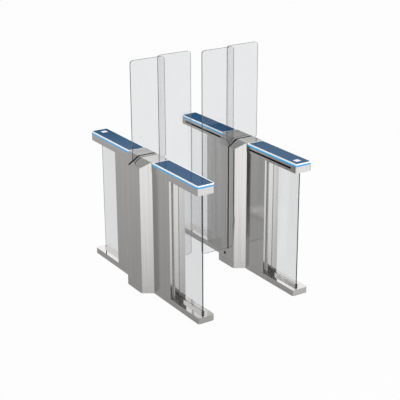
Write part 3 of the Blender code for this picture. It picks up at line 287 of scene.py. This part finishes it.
def back_painted_glass(name, marked):
    """Glass painted on its back: deep blue with a white rim, and a plain white square where the reader is.

    The white rim has a faint painted glow: an emission that stands in for light from the lit strip below
    shining into the glass.
    """
    made, tree, shader = new_material(name)
    place = put(tree, "ShaderNodeTexCoord").outputs["Object"]
    positive = put(tree, "ShaderNodeVectorMath", {0: place}, operation="ABSOLUTE").outputs[0]

    def inside(middle, size, radius):
        """1 inside a rounded rectangle at any height, given where X and Y are positive."""
        half = (size[0] / 2 - radius, size[1] / 2 - radius, ANY_HEIGHT)
        away = put(tree, "ShaderNodeVectorMath", {0: positive, 1: (*middle, 0)}, operation="SUBTRACT")
        away = put(tree, "ShaderNodeVectorMath", {0: away.outputs[0]}, operation="ABSOLUTE")
        away = put(tree, "ShaderNodeVectorMath", {0: away.outputs[0], 1: half}, operation="SUBTRACT")
        away = put(tree, "ShaderNodeVectorMath", {0: away.outputs[0], 1: (0, 0, 0)}, operation="MAXIMUM")
        reach = put(tree, "ShaderNodeVectorMath", {0: away.outputs[0]}, operation="LENGTH").outputs["Value"]
        return put(tree, "ShaderNodeMapRange", {"Value": reach, "From Min": radius - PAINT_BLUR,
                                                "From Max": radius + PAINT_BLUR, "To Min": 1.0,
                                                "To Max": 0.0}).outputs[0]

    cloud = put(tree, "ShaderNodeTexNoise", {"Vector": place, "Scale": 1 / (180 * MM), "Detail": 2.0})
    blue = put(tree, "ShaderNodeMix", {0: cloud.outputs["Fac"], 6: linear("#1F4F76"), 7: linear("#26587F")},
               data_type="RGBA")
    field = inside(FIELD_MIDDLE, FIELD_SIZE, FIELD_CORNER)
    colour = put(tree, "ShaderNodeMix", {0: field, 6: linear("#E2E3E1"), 7: blue.outputs[2]},
                 data_type="RGBA")
    if marked:
        square = inside(SQUARE_MIDDLE, SQUARE_SIZE, SQUARE_CORNER)
        colour = put(tree, "ShaderNodeMix", {0: square, 6: colour.outputs[2], 7: linear("#F2F3F3")},
                     data_type="RGBA")
    # Painted light: the white rim emits a faint glow that stands in for light from the lit strip below. The
    # blue field emits none.
    glow = put(tree, "ShaderNodeMix", {0: field, 6: linear("#FFF6F0"), 7: linear("#000000")},
               data_type="RGBA")
    connect(tree, shader, Base_Color=colour.outputs[2], Emission_Color=glow.outputs[2])
    # Emission Strength sets how bright the rim's painted glow is.
    set_sockets(shader, {"Roughness": 0.04, "IOR": 1.12, "Emission Strength": 0.3})
    return made


def lit_acrylic(name):
    """Opal acrylic with blue diodes every 16 mm behind it: an even glow, slightly brighter at each diode."""
    made, tree, shader = new_material(name)
    place = put(tree, "ShaderNodeTexCoord").outputs["Object"]
    along_rail = put(tree, "ShaderNodeSeparateXYZ", {0: place}).outputs["Y"]
    beat = put(tree, "ShaderNodeMath", {0: along_rail, 1: math.tau / DIODE_SPACING}, operation="MULTIPLY")
    beat = put(tree, "ShaderNodeMath", {0: beat.outputs[0]}, operation="COSINE")
    share = put(tree, "ShaderNodeMapRange", {"Value": beat.outputs[0], "From Min": -1.0, "From Max": 1.0})
    glow = put(tree, "ShaderNodeMix", {0: share.outputs[0], 6: linear("#24A4E0"), 7: linear("#38B4EA")},
               data_type="RGBA")
    connect(tree, shader, Emission_Color=glow.outputs[2])
    set_sockets(shader, {"Base Color": linear("#104878"), "Roughness": 0.25, "IOR": 1.49,
                         "Emission Strength": 0.8})
    return made


def smoked_acrylic(name):
    """Infrared-clear acrylic: nearly black and polished, with the faint ripple of a moulded strip."""
    made, tree, shader = new_material(name)
    place = put(tree, "ShaderNodeTexCoord").outputs["Object"]
    ripple = put(tree, "ShaderNodeTexNoise", {"Vector": place, "Scale": 1 / (25 * MM),
                                              "Detail": 1.0}).outputs["Fac"]
    colour = put(tree, "ShaderNodeMix", {0: ripple, 6: linear("#070708"), 7: linear("#0E0D0F")},
                 data_type="RGBA")
    relief = put(tree, "ShaderNodeBump", {"Height": ripple, "Strength": 0.05, "Distance": 0.4 * MM})
    connect(tree, shader, Base_Color=colour.outputs[2], Normal=relief.outputs[0])
    set_sockets(shader, {"Roughness": 0.12, "IOR": 1.4, "Specular IOR Level": 0.1})
    return made


def rubber(name, darkest, lightest):
    """Moulded rubber, such as EPDM: matt, with a grain of about 0.6 mm and a trace of dust."""
    made, tree, shader = new_material(name)
    place = put(tree, "ShaderNodeTexCoord").outputs["Object"]
    grain = put(tree, "ShaderNodeTexNoise", {"Vector": place, "Scale": 1 / (0.6 * MM),
                                             "Detail": 3.0}).outputs["Fac"]
    dust = put(tree, "ShaderNodeTexNoise", {"Vector": place, "Scale": 1 / (30 * MM),
                                            "Detail": 5.0}).outputs["Fac"]
    colour = put(tree, "ShaderNodeMix", {0: dust, 6: linear(darkest), 7: linear(lightest)},
                 data_type="RGBA")
    relief = put(tree, "ShaderNodeBump", {"Height": grain, "Strength": 0.2, "Distance": 0.1 * MM})
    connect(tree, shader, Base_Color=colour.outputs[2], Normal=relief.outputs[0])
    set_sockets(shader, {"Roughness": 0.9, "IOR": 1.45, "Specular IOR Level": 0.05})
    return made


def black_enamel(name):
    """Stoved enamel on a cast motor: satin black with the fine orange peel of a sprayed coat."""
    made, tree, shader = new_material(name)
    place = put(tree, "ShaderNodeTexCoord").outputs["Object"]
    peel = put(tree, "ShaderNodeTexNoise", {"Vector": place, "Scale": 1 / (1.6 * MM),
                                            "Detail": 2.0}).outputs["Fac"]
    cloud = put(tree, "ShaderNodeTexNoise", {"Vector": place, "Scale": 1 / (45 * MM)}).outputs["Fac"]
    colour = put(tree, "ShaderNodeMix", {0: cloud, 6: linear("#17181A"), 7: linear("#232427")},
                 data_type="RGBA")
    relief = put(tree, "ShaderNodeBump", {"Height": peel, "Strength": 0.15, "Distance": 0.15 * MM})
    connect(tree, shader, Base_Color=colour.outputs[2], Normal=relief.outputs[0])
    set_sockets(shader, {"Roughness": 0.38, "IOR": 1.5})
    return made


def moulded_abs(name):
    """Grey ABS with an eroded mould texture: pits of about 0.5 mm that keep it matt."""
    made, tree, shader = new_material(name)
    place = put(tree, "ShaderNodeTexCoord").outputs["Object"]
    pits = put(tree, "ShaderNodeTexVoronoi", {"Vector": place, "Scale": 1 / (0.5 * MM)}).outputs["Distance"]
    cloud = put(tree, "ShaderNodeTexNoise", {"Vector": place, "Scale": 1 / (35 * MM)}).outputs["Fac"]
    colour = put(tree, "ShaderNodeMix", {0: cloud, 6: linear("#6E7072"), 7: linear("#7A7C7E")},
                 data_type="RGBA")
    relief = put(tree, "ShaderNodeBump", {"Height": pits, "Strength": 0.25, "Distance": 0.1 * MM})
    connect(tree, shader, Base_Color=colour.outputs[2], Normal=relief.outputs[0])
    set_sockets(shader, {"Roughness": 0.55, "IOR": 1.54})
    return made


def black_nickel(name):
    """Black nickel plate on brass: a dark mirror with the faint clouding of years of keys and fingers."""
    made, tree, shader = new_material(name)
    place = put(tree, "ShaderNodeTexCoord").outputs["Object"]
    cloud = put(tree, "ShaderNodeTexNoise", {"Vector": place, "Scale": 1 / (6 * MM),
                                             "Detail": 4.0}).outputs["Fac"]
    colour = put(tree, "ShaderNodeMix", {0: cloud, 6: linear("#333436"), 7: linear("#46474A")},
                 data_type="RGBA")
    blur = put(tree, "ShaderNodeMapRange", {"Value": cloud, "To Min": 0.06, "To Max": 0.16})
    connect(tree, shader, Base_Color=colour.outputs[2], Roughness=blur.outputs[0])
    set_sockets(shader, {"Metallic": 1.0})
    return made


upright_steel = brushed_stainless("brushed_stainless_cover", "#DCDAD8", "#D3D1D0", grain=2, roughness=0.14)
level_steel = brushed_stainless("brushed_stainless_rail", "#DCDAD8", "#D3D1D0", grain=1, roughness=0.16)
base_steel = brushed_stainless("brushed_stainless_plinth", "#DBD9D7", "#D2D0CF", grain=1, roughness=0.08)
top_steel = brushed_stainless("brushed_stainless_roof", "#DBD9D7", "#D3D1D0", grain=0, roughness=0.10)
zinc = galvanised_steel("galvanised_frame")
guide_steel = ground_steel("ground_guide", grain=0)
clamp_steel = ground_steel("ground_clamp", grain=2)
silver = anodised_aluminium("anodised_drive")
clear = toughened_glass("toughened_glass")
# The panes' ground edges: frosted, and coloured near-black as painted shade.
edge_with_painted_shade = frosted_edge_painted_dark("frosted_edge_painted_dark")
blue_glass = back_painted_glass("back_painted_glass", marked=False)
marked_glass = back_painted_glass("back_painted_glass_with_white_square", marked=True)
lit = lit_acrylic("lit_opal_acrylic")
smoked = smoked_acrylic("smoked_acrylic")
seal = rubber("epdm_seal", "#050505", "#0B0B0B")
belt = rubber("polyurethane_belt", "#0C0C0C", "#242424")
joint_rubber = rubber("grey_epdm_joint", "#A6A6A6", "#B4B4B4")
enamel = black_enamel("stoved_enamel")
plastic = moulded_abs("moulded_abs")
dark_nickel = black_nickel("black_nickel")

FINISHES = {
    "plinth": base_steel, "inner_frame": upright_steel, "outer_cover": upright_steel,
    "lane_cover": upright_steel, "roof": top_steel, "slot_seal": seal, "fixed_screen": clear,
    "fixed_clamp": zinc, "sliding_leaf": clear, "leaf_carriage": silver, "leaf_clamp": clamp_steel,
    "guide_rails": guide_steel, "drive_belt": belt, "outer_idler": silver, "lane_idler": silver,
    "drive_pulley": silver, "drive_motor": enamel, "lock_barrel": dark_nickel, "lock_cylinder": dark_nickel,
    "reader": plastic, "near_rail": level_steel, "far_rail": level_steel, "near_rail_glass": blue_glass,
    "far_rail_glass": marked_glass, "near_light_guide": lit, "far_light_guide": lit,
    "near_sensor_window": smoked, "far_sensor_window": smoked, "near_side_glass": clear,
    "far_side_glass": clear,
}
for unit in ("left", "right"):
    for piece, material in FINISHES.items():
        slots = nodes[f"{unit}_{piece}"].data.materials
        slots.clear()
        slots.append(material)

# New pieces


def start():
    """Leaves edit mode and deselects everything, so that an operator works on the new piece alone."""
    if bpy.context.object and bpy.context.object.mode != "OBJECT":
        bpy.ops.object.mode_set(mode="OBJECT")
    bpy.ops.object.select_all(action="DESELECT")


def work_on(piece):
    """Makes a piece the only one that is selected, and the active one."""
    start()
    piece.select_set(True)
    bpy.context.view_layer.objects.active = piece


def block(name, low, high):
    """A block between two corners, with its place in its mesh, as the active object."""
    start()
    low = Vector(low)
    high = Vector(high)
    bpy.ops.mesh.primitive_cube_add(size=1, location=(low + high) / 2, scale=high - low)
    bpy.ops.object.transform_apply(location=True, rotation=True, scale=True)
    bpy.context.object.name = name
    return bpy.context.object


def deselect_mesh(piece, kind):
    """Sets a piece's mesh to select edges or faces, with none of them selected."""
    work_on(piece)
    bpy.ops.object.mode_set(mode="EDIT")
    bpy.ops.mesh.select_mode(type=kind)
    bpy.ops.mesh.select_all(action="DESELECT")
    bpy.ops.object.mode_set(mode="OBJECT")


def round_edges(piece, wanted, radius, steps=CORNER_STEPS):
    """Rounds the edges whose two ends satisfy a test."""
    deselect_mesh(piece, "EDGE")
    vertices = piece.data.vertices
    for edge in piece.data.edges:
        first, second = (vertices[v].co for v in edge.vertices)
        edge.select = wanted(first, second)
    bpy.ops.object.mode_set(mode="EDIT")
    bpy.ops.mesh.bevel(offset=radius, segments=steps, affect="EDGES")
    bpy.ops.object.mode_set(mode="OBJECT")


def extrude(piece, wanted, move):
    """Extrudes the faces whose middle and normal satisfy a test."""
    deselect_mesh(piece, "FACE")
    for face in piece.data.polygons:
        face.select = wanted(face.center, face.normal)
    bpy.ops.object.mode_set(mode="EDIT")
    bpy.ops.mesh.extrude_region_move(TRANSFORM_OT_translate={"value": move})
    bpy.ops.object.mode_set(mode="OBJECT")


def use(piece, kind, **settings):
    """Adds a modifier and applies it."""
    work_on(piece)
    modifier = piece.modifiers.new(kind.lower(), kind)
    for name, value in settings.items():
        setattr(modifier, name, value)
    bpy.ops.object.modifier_apply(modifier=modifier.name)


def ease(piece, width, steps=EDGE_STEPS):
    """Grinds every sharp edge to a small arris."""
    use(piece, "BEVEL", width=width, segments=steps, limit_method="ANGLE", angle_limit=SHARP_ANGLE)


def combine(piece, other, operation):
    use(piece, "BOOLEAN", object=other, operation=operation, solver="EXACT")
    bpy.data.objects.remove(other)


def smooth(piece):
    work_on(piece)
    bpy.ops.object.shade_smooth_by_angle(angle=SMOOTH_ANGLE)
    use(piece, "WEIGHTED_NORMAL", keep_sharp=True)


def along(axis):
    """A test for edges that run along an axis."""
    return lambda first, second: all(abs(first[i] - second[i]) < MM / 10 for i in range(3) if i != axis)


def facing(axis, way):
    """A test for faces that look along an axis, up it (1) or down it (-1)."""
    return lambda centre, normal: normal[axis] * way > FACING


def frost_edges(glass, thickness_axis):
    """Gives the ground edges of a pane their own material: frosted, and coloured near-black as painted shade.
    """
    glass.data.materials.append(edge_with_painted_shade)
    for face in glass.data.polygons:
        if abs(face.normal[thickness_axis]) < BROAD_SIDE:
            face.material_index = 1


def dress(piece, body, slot_name, material, *replaced, pane_axis=None):
    """Gives a finished piece its material and body, and makes its twin on the other pedestal."""
    smooth(piece)
    piece.data.materials.clear()
    piece.data.materials.append(material)
    if pane_axis is not None:
        frost_edges(piece, pane_axis)
    twin = piece.copy()
    twin.data = piece.data.copy()
    twin.data.transform(Matrix.Rotation(math.pi, 4, "Z"))
    twin.name = piece.name.replace("left", "right")
    bpy.context.scene.collection.objects.link(twin)
    for thing, unit in ((piece, "left"), (twin, "right")):
        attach(thing, body if body == "pedestals" else f"{unit}_{body}")
        if replaced:
            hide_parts(*[f"{unit}_{name}" for name in replaced])


def pane(name, low, high, thickness_axis, corner):
    """A pane with rounded corners and ground edges."""
    glass = block(name, low, high)
    round_edges(glass, along(thickness_axis), corner)
    ease(glass, PANE_ARRIS)
    return glass


def box_of(node):
    low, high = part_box(f"left_{node}")
    return Vector(low), Vector(high)


def glass_panes():
    """The panes. The fixed screen's has a narrower tongue below, which stands in its clamp."""
    low, high = box_of("sliding_leaf")
    leaf = pane("left_leaf_pane", low, high, 1, PANE_CORNER)
    dress(leaf, "leaf", "leaf_glass", clear, "sliding_leaf", pane_axis=1)
    low, high = box_of("fixed_screen")
    foot = Vector((low.x, low.y, RAIL_TOP - SCREEN_FOOT_DROP))
    screen = pane("left_screen_pane", foot, high, 1, PANE_CORNER)
    tongue = block("tongue", (-PEDESTAL_X - SCREEN_HALF_TONGUE, low.y, low.z),
                   (-PEDESTAL_X + SCREEN_HALF_TONGUE, high.y, foot.z + TONGUE_OVERLAP))
    combine(screen, tongue, "UNION")
    dress(screen, "pedestals", "screen_glass", clear, "fixed_screen", pane_axis=1)
    for place in ("near", "far"):
        low, high = box_of(f"{place}_side_glass")
        side = pane(f"left_{place}_side_pane", low, high, 0, SIDE_PANE_CORNER)
        dress(side, "pedestals", "side_glass", clear, f"{place}_side_glass", pane_axis=0)


def slot_edging():
    """Rubber lips pressed over the cut edges of the leaf's slot, from the outer eave to the slot's foot."""
    seal_low, seal_high = box_of("slot_seal")
    roof_high = box_of("roof")[1]
    middle = (seal_low.y + seal_high.y) / 2
    top = roof_high.z - LIP_DROP
    eave = roof_high.x - LIP_DROP - LIP_DEPTH
    run = eave - (HALF_RAIL - PEDESTAL_X)
    for side, place in ((-1, "near"), (1, "far")):
        edges = sorted((middle + side * HALF_SLOT, middle + side * LIP_INNER))
        lip = block(f"left_{place}_slot_lip", (-PEDESTAL_X - HALF_RAIL, edges[0], top - LIP_DEPTH),
                    (-PEDESTAL_X + HALF_RAIL, edges[1], top))
        for way in (-1, 1):
            extrude(lip, facing(0, way), (way * run, 0, -run * ROOF_SLOPE))
        foot_top = top - run * ROOF_SLOPE
        extrude(lip, facing(0, 1), (LIP_DEPTH, 0, -LIP_DEPTH * ROOF_SLOPE))
        extrude(lip, lambda centre, normal: normal.z < -0.5 and centre.x > eave,
                (0, 0, SLOT_FOOT - foot_top + LIP_DEPTH * (1 + ROOF_SLOPE)))
        ease(lip, LIP_ARRIS, LIP_STEPS)
        dress(lip, "pedestals", "seal_rubber", seal)


def joint_strips():
    """Grey rubber strips that close the joint between the covers' returns and each end post."""
    frame_low, frame_high = box_of("inner_frame")
    cover_low, cover_high = box_of("outer_cover")
    for end, face, way in (("near", cover_low.y, -1), ("far", cover_high.y, 1)):
        for flank, turn in (("outer", -1), ("lane", 1)):
            post_side = -PEDESTAL_X + turn * HALF_POST
            edges = sorted((post_side, post_side + turn * STRIP_WIDTH))
            ends = sorted((face, face + way * STRIP_DEPTH))
            strip = block(f"left_{end}_{flank}_joint_strip", (edges[0], ends[0], frame_low.z),
                          (edges[1], ends[1], frame_high.z))
            round_edges(strip, along(2), STRIP_CORNER, STRIP_STEPS)
            dress(strip, "pedestals", "seal_rubber", joint_rubber)


glass_panes()
slot_edging()
joint_strips()

# Floor, light and camera


def floor_material():
    """A pale painted floor. It is white where it is seen, keeps a soft shadow, and mirrored rays pass it."""
    made, tree, shader = new_material("pale_floor")
    path = put(tree, "ShaderNodeLightPath").outputs
    share = put(tree, "ShaderNodeMath", {0: looked_at(tree, path), 1: FLOOR_WHITE_SHARE},
                operation="MULTIPLY")
    white = put(tree, "ShaderNodeEmission", {"Color": (1, 1, 1, 1), "Strength": WHITE})
    set_sockets(shader, {"Base Color": linear("#F2F2F2"), "Roughness": 0.9, "Specular IOR Level": 0.0})
    mixed = put(tree, "ShaderNodeMixShader", {0: share.outputs[0], 1: shader.outputs[0],
                                              2: white.outputs[0]})
    open_floor = put(tree, "ShaderNodeBsdfTransparent")
    mixed = put(tree, "ShaderNodeMixShader", {0: mirrored(tree, path), 1: mixed.outputs[0],
                                              2: open_floor.outputs[0]})
    tree.links.new(mixed.outputs[0], tree.nodes["Material Output"].inputs["Surface"])
    return made


def room_brightness(tree):
    """What steel mirrors: a pale room that is greyer behind the object, with darker bands at two heights."""
    place = put(tree, "ShaderNodeTexCoord").outputs["Object"]
    way = put(tree, "ShaderNodeSeparateXYZ", {0: place}).outputs
    height = put(tree, "ShaderNodeMapRange", {"Value": way["Z"], "From Min": -1.0, "From Max": 1.0})
    levels = []
    for stops in (ROOM_FRONT, ROOM_BACK):
        ramp = put(tree, "ShaderNodeValToRGB", {"Fac": height.outputs[0]})
        elements = ramp.color_ramp.elements
        while len(elements) < len(stops):
            elements.new(0.5)
        for element, (level_height, level) in zip(elements, stops):
            element.position = (level_height + 1) / 2
            element.color = (level, level, level, 1)
        levels.append(ramp.outputs["Color"])
    front = put(tree, "ShaderNodeMapRange", {"Value": way["Y"], "From Min": ROOM_TURN[0],
                                             "From Max": ROOM_TURN[1]}, interpolation_type="SMOOTHSTEP")
    return put(tree, "ShaderNodeMix", {0: front.outputs[0], 6: levels[1], 7: levels[0]},
               data_type="RGBA").outputs[2]


def build_world():
    """A white surround for rays that look at it, the room for mirrored rays, and a plain level of light."""
    world = bpy.data.worlds.new("studio")
    bpy.context.scene.world = world
    world.use_nodes = True
    tree = world.node_tree
    path = put(tree, "ShaderNodeLightPath").outputs
    plain = put(tree, "ShaderNodeBackground", {"Color": (1, 1, 1, 1), "Strength": SURROUND})
    white = put(tree, "ShaderNodeBackground", {"Color": (1, 1, 1, 1), "Strength": WHITE})
    mixed = put(tree, "ShaderNodeMixShader", {0: looked_at(tree, path), 1: plain.outputs[0],
                                              2: white.outputs[0]})
    room = put(tree, "ShaderNodeBackground", {"Color": room_brightness(tree), "Strength": 1.0})
    mixed = put(tree, "ShaderNodeMixShader", {0: mirrored(tree, path), 1: mixed.outputs[0],
                                              2: room.outputs[0]})
    tree.links.new(mixed.outputs[0], tree.nodes["World Output"].inputs["Surface"])


def softbox(name, place, aim, size, power):
    """A soft lamp that neither the camera nor a mirror sees."""
    data = bpy.data.lights.new(name, "AREA")
    data.shape = "RECTANGLE"
    data.size, data.size_y = size
    data.energy = power
    lamp = bpy.data.objects.new(name, data)
    bpy.context.scene.collection.objects.link(lamp)
    lamp.location = place
    lamp.rotation_euler = (Vector(aim) - Vector(place)).to_track_quat("-Z", "Y").to_euler()
    lamp.visible_camera = False
    lamp.visible_glossy = False


def build_studio():
    start()
    bpy.ops.mesh.primitive_plane_add(size=FLOOR_SIZE, location=(0, 0, -FLOOR_DROP))
    floor = bpy.context.object
    floor.name = "floor"
    floor.data.materials.append(floor_material())
    floor.visible_glossy = False
    build_world()
    softbox("front_softbox", place=(1.5, -6.5, 1.3), aim=(0, 0, 0.7), size=(9.0, 2.4), power=260)
    softbox("top_softbox", place=(0.5, 0.5, 5.0), aim=(0, 0, 0.6), size=(4.0, 4.0), power=90)


def build_camera():
    data = bpy.data.cameras.new("camera")
    data.sensor_width = SENSOR
    data.lens = SENSOR * FOCAL_SHARE
    camera = bpy.data.objects.new("camera", data)
    bpy.context.scene.collection.objects.link(camera)
    forward = Vector((-math.sin(CAMERA_YAW) * math.cos(CAMERA_PITCH),
                      math.cos(CAMERA_YAW) * math.cos(CAMERA_PITCH), -math.sin(CAMERA_PITCH)))
    right = Vector((math.cos(CAMERA_YAW), math.sin(CAMERA_YAW), 0))
    up = right.cross(forward)
    turned_right = right * math.cos(CAMERA_ROLL) + up * math.sin(CAMERA_ROLL)
    turned_up = up * math.cos(CAMERA_ROLL) - right * math.sin(CAMERA_ROLL)
    camera.matrix_world = Matrix((turned_right, turned_up, -forward)).transposed().to_4x4()
    camera.location = CAMERA_PLACE
    bpy.context.scene.camera = camera


build_studio()
build_camera()
bpy.context.scene.view_settings.view_transform = "Standard"
